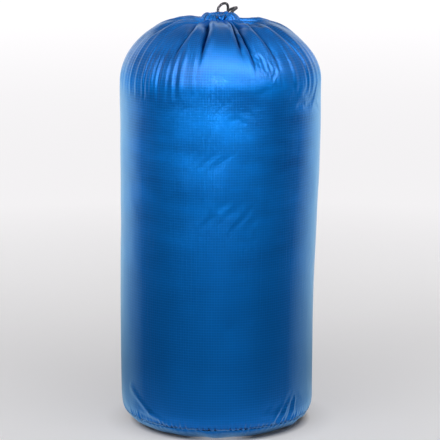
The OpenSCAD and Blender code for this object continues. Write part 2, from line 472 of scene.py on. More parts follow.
def ripstop_material(name, deep, light):
    """Shiny nylon with a raised grid of heavier threads and a fine plain weave between them."""
    s = Shader(name)
    ways = across, along = s.attribute("fabric_across"), s.attribute("fabric_along")
    # the painted shade of the creases, carried on the mesh
    crease = s.attribute("crease")
    geometry = s.add("ShaderNodeNewGeometry").outputs
    place = s.axes(geometry["Position"])
    upright = s.times(s.grid_line(across, RIPSTOP_PITCH, RIPSTOP_LINE), 0.6)
    lines = s.maths("MAXIMUM", upright, s.grid_line(along, RIPSTOP_PITCH, RIPSTOP_LINE))
    normal = ripstop_relief(s, lines, ways)
    # painted sheen makes the wall paler where it turns away; the wall is also shinier there, and shiny
    # where the dome pulls it smooth
    facing = s.add("ShaderNodeLayerWeight").outputs["Facing"]
    upward = s.axes(geometry["Normal"])["Z"]
    on_wall = s.between(place["Z"], DOME_Z - 20 * MM, DOME_Z + 30 * MM, 1.0, 0.1)
    pale = s.times(s.between(facing, 0.38, 0.8, 0.0, 0.9), on_wall)
    turned = s.times(s.between(facing, 0.35, 0.85, 0.12, 0.6), on_wall)
    shine = s.maths("MAXIMUM", turned, s.between(upward, 0.05, 0.4, 0.0, 0.75))
    shine = s.times(shine, s.between(crease, 0.0, 0.5, 1.0, 0.0))
    # the cloth's blue, with painted sheen patches standing for gentle wrinkles
    colour = painted_sheen_patches(s, place, deep, light)
    colour = s.mix(s.times(lines, 0.5), colour, scaled(light, 1.25, 0.01))
    # painted sheen: paler blue where the wall turns away
    colour = s.mix(pale, colour, PAINTED_EDGE_SHEEN)
    # painted shade darkens the creases of the folds and pleats
    colour = s.mix(s.between(crease, 0.05, 0.6), colour, CREASE_SHADE)
    s.set(Base_Color=colour, Normal=normal, Metallic=0.6, Specular_Tint=SHEEN_TINT)
    s.set(Specular_IOR_Level=s.between(crease, 0.0, 0.7, 0.6, 0.05))
    s.set(Roughness=s.between(s.noise(30.0, 4.0), 0.3, 0.7, 0.36, 0.44))
    s.set(Coat_Weight=shine, Coat_Roughness=0.26, Coat_Normal=normal)
    return s.owner


def cord_material():
    """Dark braided cord with pale flecks that follow the braid."""
    s = Shader("braided_cord")
    light = s.between(s.attribute("braid"), 0.2, 1.0)
    colour = s.mix(light, (0.006, 0.006, 0.008, 1), (0.035, 0.035, 0.042, 1))
    colour = s.mix(s.attribute("fleck"), colour, (0.33, 0.3, 0.34, 1))
    s.set(Base_Color=colour, Roughness=0.62, Sheen_Weight=0.2, Sheen_Roughness=0.5)
    s.set(Normal=s.bump(s.noise(2400.0, 2.0), 0.05 * MM, 0.6))
    return s.owner


def thread_material(name, colour):
    """Shiny sewing thread with the slanting lines of its twist."""
    s = Shader(name)
    twist = s.add("ShaderNodeTexWave", {"Scale": 900.0}, bands_direction="DIAGONAL").outputs["Fac"]
    s.set(Base_Color=s.mix(s.between(twist, 0, 1), scaled(colour, 0.55), colour), Roughness=0.45)
    s.set(Normal=s.bump(twist, 0.08 * MM, 0.5), Sheen_Weight=0.3)
    return s.owner


def webbing_material():
    """Flat nylon webbing: the ribs are in the mesh, the yarns in the bump."""
    s = Shader("webbing")
    yarn = s.weave(s.attribute("web_across"), s.attribute("web_along"), WEBBING_YARN)
    colour = s.mix(s.between(yarn, -1, 1), (0.006, 0.006, 0.007, 1), (0.03, 0.03, 0.034, 1))
    colour = s.mix(s.between(s.noise(60.0, 4.0), 0.45, 0.8, 0, 0.25), colour, (0.09, 0.088, 0.085, 1))
    s.set(Base_Color=colour, Roughness=0.55, Sheen_Weight=0.25)
    s.set(Normal=s.bump(yarn, 0.12 * MM, 0.7))
    return s.owner


def tape_material():
    """Grosgrain binding tape: the ribs are in the mesh, the yarns in the bump."""
    s = Shader("binding_tape")
    yarn = s.noise(1800.0, 3.0)
    s.set(Base_Color=s.mix(yarn, (0.006, 0.007, 0.01, 1), (0.022, 0.024, 0.032, 1)))
    s.set(Roughness=0.6, Sheen_Weight=0.2, Normal=s.bump(yarn, 0.06 * MM, 0.7))
    return s.owner


def plastic_material(name, colour):
    """Moulded acetal: fine spark texture and slightly lighter convex edges, for wear and a painted
    sheen.
    """
    s = Shader(name)
    spark = s.noise(1500.0, 2.0)
    broad = s.noise(120.0, 3.0)
    # wear and painted sheen: lighter colour on convex edges
    wear_and_edge_sheen = s.between(s.add("ShaderNodeNewGeometry").outputs["Pointiness"], 0.52, 0.6)
    light = scaled(colour, 2.6, 0.01)
    s.set(Base_Color=s.mix(wear_and_edge_sheen, s.mix(broad, colour, light), light))
    s.set(Roughness=s.between(broad, 0.3, 0.7, 0.38, 0.5))
    s.set(Normal=s.bump(spark, 0.03 * MM, 0.5))
    return s.owner


def steel_material():
    """Drawn spring wire."""
    s = Shader("spring_wire")
    drawn = s.noise(700.0, 4.0)
    s.set(Base_Color=s.mix(drawn, (0.42, 0.43, 0.45, 1), (0.68, 0.69, 0.72, 1)))
    s.set(Metallic=1.0, Roughness=s.between(drawn, 0.3, 0.7, 0.22, 0.36))
    s.set(Normal=s.bump(drawn, 0.02 * MM, 0.4))
    return s.owner


def filling_material():
    """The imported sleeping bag's soft shell."""
    s = Shader("packed_sleeping_bag")
    s.set(Base_Color=s.mix(s.noise(25.0, 4.0), (0.05, 0.06, 0.08, 1), (0.11, 0.13, 0.17, 1)))
    s.set(Roughness=0.6, Sheen_Weight=0.3, Normal=s.bump(s.noise(300.0, 3.0), 0.4 * MM, 0.6))
    return s.owner


def painted_contact_shadow(s, distance, sideways):
    """Painted contact shadow: 1 on the open floor, darker in a ring where the sack meets it.

    The base touches at the front and back, and hangs a little clear of the floor to each side.
    """
    deepest = s.between(sideways, 14 * MM, 36 * MM, 0.7, 0.04)
    narrow = s.between(distance, FOOT_R + 12 * MM, FOOT_R + 23 * MM, deepest, 1.0)
    return s.times(narrow, s.between(distance, FOOT_R + 16 * MM, FOOT_R + 50 * MM, 0.8, 1.0))


def floor_material():
    """Pale studio floor that brightens with distance, as if lit from behind the sack.

    It is bright to the camera and in reflections; the light it bounces is weak, so shadows stay deep.
    """
    s = Shader("pale_floor")
    path = s.add("ShaderNodeLightPath").outputs
    geometry = s.add("ShaderNodeNewGeometry").outputs
    position = geometry["Position"]
    distance = s.add("ShaderNodeVectorMath", (position,), operation="LENGTH").outputs["Value"]
    place = s.axes(position)
    near = s.between(distance, 0.1, 1.3, 0.45, 0.85)
    far = s.between(distance, 1.3, 5.0, 0.0, 0.22)
    # painted contact shadow darkens the floor's glow round the sack's foot
    contact_shadow = painted_contact_shadow(s, distance, s.maths("ABSOLUTE", place["X"]))
    glow = s.times(s.maths("ADD", near, far), contact_shadow)
    mirrored = s.between(place["Y"], -0.1, 0.7, 0.1, 1.1)
    mirrored = s.maths("MAXIMUM", mirrored, s.between(distance, 0.12, 0.34, 1.2, 0.0))
    seen = s.between(path["Is Diffuse Ray"], 0.0, 1.0, 1.0, 0.06)
    seen = s.times(seen, s.between(path["Is Glossy Ray"], 0.0, 1.0, 1.0, mirrored))
    soft = s.between(s.noise(3.0, 2.0), 0.0, 1.0, 0.97, 1.03)
    lit = s.times(s.times(s.between(distance, 0.8, 2.6, 0.42, 0.0), soft), seen)
    grey = s.add("ShaderNodeCombineColor", (lit, lit, lit)).outputs[0]
    s.set(Base_Color=grey, Roughness=0.9, Specular_IOR_Level=0.0)
    # clear from below, so that the underside can be looked at
    s.set(Alpha=s.between(geometry["Backfacing"], 0.0, 1.0, 1.0, 0.0))
    s.set(Emission_Color=STUDIO_WHITE, Emission_Strength=s.times(glow, seen))
    return s.owner


# ---- the sack's surface ----


def wall_radius(z):
    """The wall bellies out from its waist to the shoulder."""
    share = np.clip((z - WAIST_Z) / (DOME_Z - WAIST_Z), 0, 1)
    return SACK_R - WAIST_IN * (1 + np.cos(math.pi * share)) / 2


def outline_points(start_angle):
    """Fine points (r, z) of the sack's half outline, from an angle on the base edge to the collar."""
    points = []
    for a in np.linspace(start_angle, math.pi / 2, 40):
        points.append((FOOT_R + BASE_ROUND * math.sin(a), BASE_ROUND * (1 - math.cos(a))))
    for z in np.linspace(BASE_ROUND, DOME_Z, 120)[1:]:
        points.append((float(wall_radius(z)), z))
    for a in np.linspace(0, math.pi / 2, 200)[1:]:
        r = DOME_FLAT_R + (SACK_R - DOME_FLAT_R) * math.cos(a) ** (2 / DOME_POWER)
        points.append((r, DOME_Z + DOME_H * math.sin(a) ** (2 / DOME_POWER)))
    points.append((COLLAR_FOOT_R, SACK_TOP))
    return np.array(points)


def resample(points, spacing):
    """Rows along the outline, spaced by spacing(length so far, total length)."""
    length = lengths_along(points)
    stops = [0.0]
    while stops[-1] < length[-1]:
        stops.append(stops[-1] + spacing(stops[-1], length[-1]))
    stops = np.array(stops) * length[-1] / stops[-1]
    rows = np.stack([np.interp(stops, length, points[:, k]) for k in (0, 1)], axis=1)
    return rows, stops


def row_normals(rows):
    """Outward normals (r, z) of the outline at each row."""
    slope = np.gradient(rows, axis=0)
    slope /= np.linalg.norm(slope, axis=1)[:, None]
    return np.stack([slope[:, 1], -slope[:, 0]], axis=1)


# folds of the gathered dome: angle where each leaves the collar, angle where it ends (degrees),
# radius where it ends, depth and half width (mm)
FRONT_FOLDS = [
    (-24, -12, 101, 6.5, 2.6),
    (-46, -30, 98, 6.0, 2.6),
    (-76, -62, 82, 5.0, 3.0),
    (-98, -81, 98, 4.5, 3.2),
    (22, 14, 95, 5.5, 2.2),
    (30, 21, 106, 6.0, 2.4),
    (50, 37, 101, 6.0, 2.6),
    (62, 48, 64, 5.5, 3.4),
    (80, 57, 106, 4.5, 3.0),
]


def all_folds():
    """The front's folds, then an uneven run of similar ones round the back."""
    rng = np.random.default_rng(11)
    folds = list(FRONT_FOLDS)
    angle = 100.0
    while angle < 252.0:
        drift = rng.uniform(-10, 10)
        reach, deep, width = rng.uniform(76, 107), rng.uniform(4.0, 6.5), rng.uniform(2.2, 3.2)
        folds.append((angle + drift, angle, reach, deep, width))
        angle += rng.uniform(13, 22)
    return folds


def fold_depth(theta, r, sharp):
    """How far the folds sink the dome at each point, and how much painted shade each point gets from the
    crease it lies in.

    The crease lines are there only when sharp is 1.
    """
    depth = np.zeros_like(theta)
    shade = np.zeros_like(theta)
    for start, end, reach, deep, width in all_folds():
        share = smooth(r, COLLAR_FOOT_R, 66 * MM)
        offset = wrap(theta - np.radians(start + (end - start) * share)) * r
        fade = smooth(r, COLLAR_FOOT_R, 42 * MM) * (1 - smooth(r, 0.72 * reach * MM, reach * MM))
        w = width * MM * (0.4 + 0.6 * bump(r, 68 * MM, 50 * MM))
        # each crease is steep on the side towards the front, and has a raised lip there
        towards_middle = offset * (-1 if wrap(math.radians(end)) > 0 else 1)
        steep = np.where(towards_middle > 0, 0.5, 1.5)
        crease = np.exp(-((np.abs(offset) / (w * steep)) ** 1.3))
        lip = np.exp(-(((towards_middle - 2.6 * w) / (1.8 * w)) ** 2))
        dip = np.exp(-((offset / (9 * MM)) ** 2))
        depth += deep * MM * fade * (0.45 * dip + sharp * (1.05 * crease - 0.4 * lip))
        line = smooth(r, COLLAR_FOOT_R, 34 * MM) * (1 - smooth(r, 0.8 * reach * MM, reach * MM))
        # painted shade along the middle of each crease
        shade = np.maximum(shade, line * np.exp(-((np.abs(offset) / (0.75 * w)) ** 2)))
    return depth, shade


def groove_line(u, v, start, end, width):
    """1 on the straight line from start to end, falling off beside it."""
    direction = np.array(end) - np.array(start)
    length = np.linalg.norm(direction)
    direction = direction / length
    along = np.clip((u - start[0]) * direction[0] + (v - start[1]) * direction[1], 0, length)
    gap_u = u - start[0] - along * direction[0]
    gap_v = v - start[1] - along * direction[1]
    return np.exp(-(gap_u**2 + gap_v**2) / width**2)


# soft creases above the base edge: angle (degrees) and height (mm) of both ends, rise and width (mm)
BASE_CREASES = [
    (-62, 48, -43, 26, 1.0, 3.0),
    (-43, 26, -30, 17, 0.9, 2.6),
    (-52, 22, -38, 17, -0.6, 2.2),
    (33, 13, 38, 27, 0.8, 1.8),
    (36, 13, 42, 30, -0.7, 1.6),
    (40, 13, 46, 33, 0.9, 1.8),
    (46, 14, 50, 36, -0.7, 1.8),
    (50, 16, 54, 38, 0.7, 2.0),
    (-10, 20, 12, 22, 0.5, 1.8),
    (14, 22, 32, 19, 0.6, 1.8),
    (118, 15, 130, 34, 0.8, 2.0),
    (124, 15, 139, 30, -0.7, 2.0),
    (-128, 16, -120, 38, 0.9, 2.2),
]


def base_creases(theta, z):
    """How far the creases above the base stand out of the wall, or sink into it."""
    total = 0 * theta
    for start_angle, start_z, end_angle, end_z, rise, width in BASE_CREASES:
        start = (math.radians(start_angle) * SACK_R, start_z * MM)
        end = (math.radians(end_angle) * SACK_R, end_z * MM)
        total = total + rise * MM * groove_line(theta * SACK_R, z, start, end, width * MM)
    return total


# how far the base seam pulls the cloth in
SEAM_DIP = 0.35 * MM
# the side seam's angle, and how far each row of its stitches is from its middle
SIDE_SEAM = -math.pi + math.asin(54.7 * MM / SACK_R)
SEAM_ROW = 3.2 * MM
SIDE_STITCH = 3.2 * MM


def side_seam_ridge(theta, r, length):
    """The felled seam down the back: a flat raised band with small puckers."""
    across = np.abs(wrap(theta - SIDE_SEAM)) * np.maximum(r, 40 * MM)
    band = 1 - smooth(across, 4.0 * MM, 5.2 * MM)
    pucker = np.sin(2 * math.pi * length / (6.4 * MM)) * bump(across, 7 * MM, 7 * MM)
    return 0.7 * MM * band + 0.22 * MM * pucker


# random waves of the cloth: seed, turns round the sack, radians per metre, number of waves
BROAD = Ripples(3, (2, 6), (4, 14))
DENTS = Ripples(17, (1, 5), (-110, 110), 40)
CALM = Ripples(19, (2, 5), (-5, 5), 6)
FINE = Ripples(5, (14, 34), (6, 60), 22)
STREAKS = Ripples(8, (34, 120), (0, 4), 40)
GATHERS = Ripples(12, (26, 70), (-60, 60), 26)
LOBES = Ripples(14, (5, 9), (0, 10), 12)
SEAM_PUCKERS = Ripples(21, (70, 130), (-60, 60), 24)


def wall_waves(theta, z, length):
    """Swells, ripples and dents of the wall, with fine streaks down the shoulder."""
    wall = (1 - smooth(z, DOME_Z + 5 * MM, SACK_TOP)) * smooth(z, SEAM_Z, SEAM_Z + 30 * MM)
    dented = 0.2 + 0.8 * smooth(z, 150 * MM, 290 * MM)
    waves = 0.9 * BROAD(theta, length) + 0.1 * FINE(theta, length)
    waves = waves + 0.3 * DENTS(theta, length) * dented
    streak_size = 0.15 * np.clip(1 + 0.8 * CALM(theta, length), 0.1, 2.4)
    streaks = streak_size * STREAKS(theta, length) * bump(z, DOME_Z + 20 * MM, 44 * MM)
    return MM * (waves * wall + streaks)


def dome_waves(theta, r, length):
    """Gathers near the collar, wide lobes between the folds, and a fuller middle."""
    gathers = 0.5 * GATHERS(theta, length) * (1 - smooth(r, 26 * MM, 70 * MM))
    lobes = 1.1 * LOBES(theta, length) * bump(r, 66 * MM, 46 * MM)
    return MM * (gathers + lobes + 1.6 * (1 - smooth(r, 60 * MM, 100 * MM)))


def sack_offset(theta, r, z, length, sharp):
    """How far the cloth stands off the plain outline, and how much painted shade each point gets in a
    crease.
    """
    on_dome = smooth(z, DOME_Z - 25 * MM, DOME_Z + 20 * MM)
    near_seam = 1 - smooth(z, SEAM_Z, SEAM_Z + 14 * MM)
    depth, shade = fold_depth(theta, r, sharp)
    offset = wall_waves(theta, z, length) + on_dome * (dome_waves(theta, r, length) - depth)
    offset += base_creases(theta, z)
    offset += 0.45 * MM * SEAM_PUCKERS(theta, length) * near_seam
    offset -= SEAM_DIP * (1 - smooth(z, SEAM_Z, SEAM_Z + 3 * MM))
    offset += sharp * side_seam_ridge(theta, r, length)
    return offset, shade * on_dome


def lean(z):
    """How far the sack is moved along X at a height: its lower part sits to the left of the neck."""
    return -LEAN * (1 - smooth(z, 0.1, 0.33))


def lock_room(x, y, z):
    """The dome's height, sunk behind the neck so that the lock and cords lie in a fold."""
    along = smooth(y, 19 * MM, 29 * MM)
    across = bump(x, LOCK.x + 4 * MM, 34 * MM)
    bed = barrel_lo.z - 3 * MM
    return np.minimum(z, z * (1 - along * across) + bed * along * across)


def sack_surface(rows, stops, columns, sharp):
    """The cloth's points, with each one's angle, length along the outline and crease shade."""
    normals = row_normals(rows)
    theta = turns(columns, len(rows))
    r, z, length = [column[:, None] + 0 * theta for column in (*rows.T, stops)]
    offset, shade = sack_offset(theta, r, z, length, sharp)
    points = round_points(r + offset * normals[:, :1], theta, z + offset * normals[:, 1:])
    points[..., 0] += lean(z)
    points[..., 2] = lock_room(*np.moveaxis(points, -1, 0))
    return points, theta, length, shade


FILLING_INSET = 6 * MM


def packed_filling(material):
    """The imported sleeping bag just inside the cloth; the cloth rests on it."""
    columns = 180
    rows, stops = resample(outline_points(0.0), lambda length, total: 4 * MM)
    rows = np.vstack([[(0.001, 0.0)], rows, [(0.001, SACK_TOP)]])
    stops = np.concatenate([[stops[0] - 1 * MM], stops, [stops[-1] + 1 * MM]])
    lumps = Ripples(31, (3, 12), (20, 90), 20)
    normals = row_normals(rows)
    theta = turns(columns, len(rows))
    inset = -(FILLING_INSET - 1.2 * MM * lumps(theta, stops[:, None]))
    inset = inset * np.minimum(1, rows[:, :1] / (30 * MM))
    r = np.maximum(rows[:, :1] + inset * normals[:, :1], 0.5 * MM)
    points = round_points(r, theta, rows[:, 1:] - FILLING_INSET * normals[:, 1:])
    points[..., 0] += lean(rows[:, 1:])
    x, y, z = np.moveaxis(points, -1, 0)
    z = lock_room(x, y, z) - 4 * MM * smooth(z, DOME_Z, SACK_TOP)
    points[..., 2] = np.maximum(z, 4.5 * MM)
    faces = grid_faces(len(rows), columns)
    obj = new_object("packed_sleeping_bag", points, faces, material)
    return finish_piece(obj, "packed_filling")


# ---- cloth ----

SETTLE_FRAMES = 20
SETTLE_COLUMNS = 300
SETTLE_SPACING = 3.6 * MM
PRESSURE = 4.0
CLOTH_CAP = 9 * MM


def slack_rest(rows, stops, columns):
    """The cloth's own flat size: each ring longer than the room it is gathered into."""
    gathered = 0.55 * (1 - smooth(rows[:, 0], 20 * MM, 104 * MM)) * (rows[:, 1] > DOME_Z)
    rest_r = rows[:, 0] * (1 + 0.006 + gathered)
    drop = np.sqrt(np.maximum(np.diff(stops) ** 2 - np.diff(rest_r) ** 2, 1e-10))
    rest_z = np.concatenate([[0], np.cumsum(drop)]) + rows[0, 1]
    return round_points(rest_r[:, None], turns(columns), rest_z[:, None]).reshape(-1, 3)


CLOTH_GAP = 1.5 * MM
# stiffness and damping against each way of straining the cloth
STRAINS = {"tension": (25, 12), "compression": (25, 12), "shear": (8, 12), "bending": (0.15, 0.8)}


def cloth_settings(modifier):
    """Light nylon, blown out a little and without weight."""
    cloth = modifier.settings
    cloth.quality = 7
    cloth.mass = 0.15
    for strain, (stiffness, damping) in STRAINS.items():
        setattr(cloth, strain + "_stiffness", stiffness)
        setattr(cloth, strain + "_damping", damping)
    cloth.air_damping = 2.0
    cloth.use_pressure = True
    cloth.uniform_pressure_force = PRESSURE
    cloth.effector_weights.gravity = 0
    modifier.collision_settings.distance_min = CLOTH_GAP
    modifier.collision_settings.collision_quality = 3
    return cloth


def settle_cloth(points, rest, pins, support):
    """Lets slack cloth settle on its support; returns how far each point of the grid moved."""
    start = points.reshape(-1, 3)
    obj = new_object("settling", start, grid_faces(*points.shape[:2]))
    group = obj.vertex_groups.new(name="held")
    for index, weight in enumerate(pins):
        if weight > 0.01:
            group.add([index], float(weight), "REPLACE")
    obj.shape_key_add(name="Basis")
    key = obj.shape_key_add(name="slack")
    key.data.foreach_set("co", rest.astype(np.float32).ravel())
    key.value = 0.0
    hard = support.modifiers.new("support", "COLLISION")
    support.collision.thickness_outer = CLOTH_GAP
    modifier = obj.modifiers.new("cloth", "CLOTH")
    cloth = cloth_settings(modifier)
    cloth.rest_shape_key = key
    cloth.vertex_group_mass = group.name
    scene = bpy.context.scene
    scene.frame_start, scene.frame_end = 1, SETTLE_FRAMES
    modifier.point_cache.frame_start = 1
    modifier.point_cache.frame_end = SETTLE_FRAMES
    for number in range(1, SETTLE_FRAMES + 1):
        scene.frame_set(number)
    settled = obj.evaluated_get(bpy.context.evaluated_depsgraph_get())
    after = np.empty(start.size, np.float32)
    settled.to_mesh().vertices.foreach_get("co", after)
    settled.to_mesh_clear()
    bpy.data.objects.remove(obj)
    support.modifiers.remove(hard)
    scene.frame_set(1)
    move = after.reshape(-1, 3) - start
    far = np.linalg.norm(move, axis=1, keepdims=True)
    move *= np.minimum(1, CLOTH_CAP / np.maximum(far, 1e-9))
    return move.reshape(points.shape)


def finer_columns(field, columns):
    """The same closed rings with more points on each."""
    spectrum = np.fft.rfft(field, axis=1)
    return np.fft.irfft(spectrum, columns, axis=1) * columns / field.shape[1]


def finer_rows(field, stops, new_stops):
    """The same columns at other places along them, with a smooth curve between rows."""
    place = np.interp(new_stops, stops, np.arange(len(stops)))
    low = np.clip(place.astype(int), 0, len(stops) - 2)
    t = (place - low)[:, None, None]
    last = len(stops) - 1
    p0, p1 = field[np.maximum(low - 1, 0)], field[low]
    p2, p3 = field[low + 1], field[np.minimum(low + 2, last)]
    bend = (2 * p0 - 5 * p1 + 4 * p2 - p3) + t * (3 * p1 - p0 - 3 * p2 + p3)
    return p1 + 0.5 * t * (p2 - p0 + t * bend)


def settled_move(stops, columns, filling):
    """How far the cloth settles at each point of a finer grid."""
    rows, coarse = resample(outline_points(SEAM_ANGLE), lambda length, total: SETTLE_SPACING)
    points, _, length, _ = sack_surface(rows, coarse, SETTLE_COLUMNS, 0.0)
    held = 1 - smooth(length, 2 * MM, 10 * MM) + smooth(length, coarse[-1] - 8 * MM, coarse[-1])
    rest = slack_rest(rows, coarse, SETTLE_COLUMNS)
    move = settle_cloth(points, rest, np.minimum(held, 1).ravel(), filling)
    return finer_columns(finer_rows(move, coarse, stops), columns)


# ---- fabric pieces ----

COLUMNS = 640
FABRIC_T = 0.5 * MM


def fabric_piece(obj, across, along, slot, node, **attributes):
    """Gives a sheet of ripstop its thread directions and its thickness."""
    add_attribute(obj, "fabric_across", across + 1.0)
    add_attribute(obj, "fabric_along", along + 1.0)
    for name, values in attributes.items():
        add_attribute(obj, name, values)
    solidify(obj, FABRIC_T)
    return finish_piece(obj, node)


def side_spacing(length, total):
    """Fine rows near the base seam and over the dome, coarser ones on the plain wall."""
    if length < 26 * MM:
        return 1.6 * MM
    if length > total - 160 * MM:
        return 1.5 * MM
    return 3.0 * MM


def side_panel(material, filling):
    """The wrapped sheet of the wall and dome; returns it as a sheet that the stitches can follow."""
    rows, stops = resample(outline_points(SEAM_ANGLE), side_spacing)
    points, theta, length, shade = sack_surface(rows, stops, COLUMNS, 1.0)
    points = points + settled_move(stops, COLUMNS, filling)
    faces = grid_faces(len(rows), COLUMNS)
    obj = new_object("side_panel_cloth", points, faces, material)
    fabric_piece(obj, theta * SACK_R, length, "ripstop_blue", "side_panel", crease=shade)
    return Sheet(points, theta, stops)


def under_base(x, y, out):
    """A point of the rounded base over (x, y), moved off it by out, with its outward normal."""
    r = np.hypot(x, y)
    s = np.clip((r - FOOT_R) / BASE_ROUND, 0, math.sin(SEAM_ANGLE))
    c = np.sqrt(1 - s * s)
    radial = np.maximum(r, 1e-6)
    normal = np.stack([s * x / radial, s * y / radial, -c], axis=-1)
    point = np.stack([x, y, BASE_ROUND * (1 - c)], axis=-1) + normal * np.asarray(out)[..., None]
    point[..., 0] -= LEAN
    return point, normal


def base_panel(material):
    """The round base: flat underneath with room for the webbing, puckered where it meets the seam."""
    columns = 360
    puckers = Ripples(22, (70, 130), (-60, 60), 24)
    wrinkles = Ripples(23, (8, 30), (40, 160), 24)
    r = np.concatenate([np.linspace(0.3 * MM, FOOT_R, 40), np.linspace(FOOT_R, BASE_EDGE_R, 26)[1:]])
    r, theta = np.broadcast_arrays(r[:, None], turns(columns))
    x, y = r * np.sin(theta), -r * np.cos(theta)
    groove = 1 - smooth(np.abs(y), WEB_HALF + 0.4 * MM, WEB_HALF + 3 * MM)
    out = 0.25 * MM * puckers(theta, r) * smooth(r, BASE_EDGE_R - 12 * MM, BASE_EDGE_R)
    out = out + 0.35 * MM * wrinkles(theta, r) * smooth(r, FOOT_R, FOOT_R + 12 * MM)
    out = out - SEAM_DIP * smooth(r, BASE_EDGE_R - 2 * MM, BASE_EDGE_R)
    out = out * (1 - groove) - (WEB_T + 0.3 * MM) * groove
    points, _ = under_base(x, y, out)
    points[..., 2] = np.maximum(points[..., 2], 0.0)
    rows = len(points)
    verts = points[::-1].reshape(-1, 3)
    faces = [face[::-1] for face in grid_faces(rows, columns)] + [last_cap(rows, columns)]
    obj = new_object("base_panel_cloth", verts, faces, material)
    return fabric_piece(obj, verts[:, 0], verts[:, 1], "ripstop_base", "base_panel")


BINDING_INSET = 3.9 * MM


def squared(wave):
    """A sine or cosine pushed out towards a square wave."""
    return np.sign(wave) * abs(wave) ** 0.5


def base_seam_binding(material):
    """Ribbed tape folded over the seam allowance inside the sack."""
    columns = 480
    sides = 20
    middle = (binding_lo.z + binding_hi.z) / 2
    half = (binding_hi.z - binding_lo.z) / 2 - 0.2 * MM
    theta = turns(columns)[0]
    ribs = 0.12 * MM * np.sin(240 * theta)
    rings = []
    for a in np.linspace(0, 2 * math.pi, sides, endpoint=False):
        z = middle + half * squared(math.sin(a))
        outline = FOOT_R + BASE_ROUND * math.sqrt(1 - (1 - min(z, BASE_ROUND) / BASE_ROUND) ** 2)
        side = 0.55 * MM * squared(math.cos(a)) + ribs * np.sign(math.cos(a))
        rings.append(round_points(outline - BINDING_INSET + side, theta, z) - (LEAN, 0, 0))
    verts = np.array(rings).reshape(-1, 3)
    # the last ring joins the first
    faces = [tuple(i % len(verts) for i in face) for face in grid_faces(sides + 1, columns)]
    obj = new_object("base_seam_binding_tape", verts, faces, material)
    return finish_piece(obj, "base_seam_binding")


def stitch_ring(sheet, names, count, stop, width):
    """A line of stitches all round the sack at one length along its outline."""
    parts = Parts()
    places = [sheet.place(2 * math.pi * i / count, stop) for i in range(count + 1)]
    stitch_line(parts, places, width)
    parts.sewn(*names)


def base_seam_stitching(sheet, material):
    names = ("base_seam_stitches", material, "base_seam_stitching")
    stitch_ring(sheet, names, count=200, stop=2.6 * MM, width=0.75 * MM)


def side_seam_stitching(sheet, material):
    """Two rows of stitches down the felled seam at the back, from the collar to the base."""
    parts = Parts()
    stops = np.arange(6 * MM, sheet.stops[-1] - 12 * MM, SIDE_STITCH)
    radius = np.hypot(*(sheet.points[:, 0, :2]).T)
    for side in (-1, 1):
        places = []
        for stop in stops:
            r = float(np.interp(stop, sheet.stops, radius))
            places.append(sheet.place(SIDE_SEAM + side * SEAM_ROW / max(r, 40 * MM), stop))
        stitch_line(parts, places, 0.7 * MM)
    parts.sewn("side_seam_stitches", material, "side_seam_stitching")


# ---- haul handle ----

# the gap between the two rows of bartacks at each end of the strap
BARTACK_GAP = 6 * MM


def webbing_half(name, side, material):
    """Half of the strap under the base, from the seam to the middle."""
    edge = BASE_EDGE_R - 0.3 * MM
    along = np.linspace(1, 0, 150)[:, None]
    across = np.linspace(-1, 1, 34)[None, :]
    y = across * WEB_HALF * (1 + 0 * along)
    x = side * along * np.sqrt(edge**2 - y**2)
    ribs = 0.1 * MM * (np.cos(2 * math.pi * y / (1.9 * MM)) - 1)
    ribs = ribs + 0.05 * MM * np.cos(2 * math.pi * x / (1.3 * MM)) - 0.05 * MM
    lift = ribs - 0.5 * MM * smooth(np.abs(y), WEB_HALF - 0.9 * MM, WEB_HALF)
    top, _ = under_base(x, y, lift)
    bottom, _ = under_base(x, y, -WEB_T - lift)
    ring, x, y = [np.concatenate([a, b[:, ::-1]], axis=1) for a, b in ((top, bottom), (x, x), (y, y))]
    ring[..., 2] = np.maximum(ring[..., 2], 0.02 * MM)
    rows, columns = y.shape
    # the left half is a mirror image, so its faces run the other way round
    faces = [face[::side] for face in capped_faces(rows, columns)]
    obj = new_object(name, ring, faces, material)
    add_attribute(obj, "web_across", y + 1.0)
    add_attribute(obj, "web_along", x + 1.0)
    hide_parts("handle_webbing_ends", "handle_grip")
    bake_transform(obj)


def handle_bartacks(material):
    """Dense zigzag stitches that hold the strap's ends."""
    parts = Parts()
    half_w = 0.75 * MM
    reach = tacks_hi.y
    outer = tacks_hi.x - half_w
    count = 26
    for side in (-1, 1):
        for x in (outer, outer - BARTACK_GAP):
            ys = np.linspace(-reach, reach, count)
            xs = side * x + half_w * np.where(np.arange(count) % 2, 1, -1)
            points, normals = under_base(xs, ys, np.full(count, 0.05 * MM))
            for i in range(count - 1):
                add_stitch(parts, points[i], points[i + 1], normals[i], 0.7 * MM)
    parts.sewn("handle_bartack_stitches", material, "handle_bartacks", "thread_black")


# ---- gathered neck ----

# section of the gathered channel: radius and height above its foot (mm), from the outer foot
# over the top and down into the closed throat
COLLAR_SECTION = [
    (17.0, -3.0), (19.8, -1.6), (21.2, -0.2), (20.8, 1.4), (19.4, 3.6), (17.6, 5.6), (15.4, 6.9),
    (13.2, 7.1), (11.2, 6.3), (9.2, 5.2), (7.0, 4.4), (4.6, 4.0), (2.2, 3.8), (0.4, 3.8),
]
COLLAR_TOP = CHANNEL_FOOT + max(height for _, height in COLLAR_SECTION) * MM


def pleats(theta):
    """Uneven folds round the neck: round ridges (1) with sharp valleys (0) between."""
    phase = 21 * theta + 1.3 * np.sin(3 * theta + 0.7) + 0.9 * np.sin(5 * theta + 2.1)
    return np.abs(np.cos(phase / 2)) ** 0.75


def collar_flap(theta, height):
    """Two grooves that run up the front of the collar from one foot, as at the end of the hem."""
    across = wrap(theta) * CHANNEL_R
    foot = (3 * MM, 0.8 * MM)
    tops = [(-6 * MM, 7 * MM), (8 * MM, 7 * MM)]
    return np.maximum(*[groove_line(across, height, foot, top, 0.9 * MM) for top in tops])


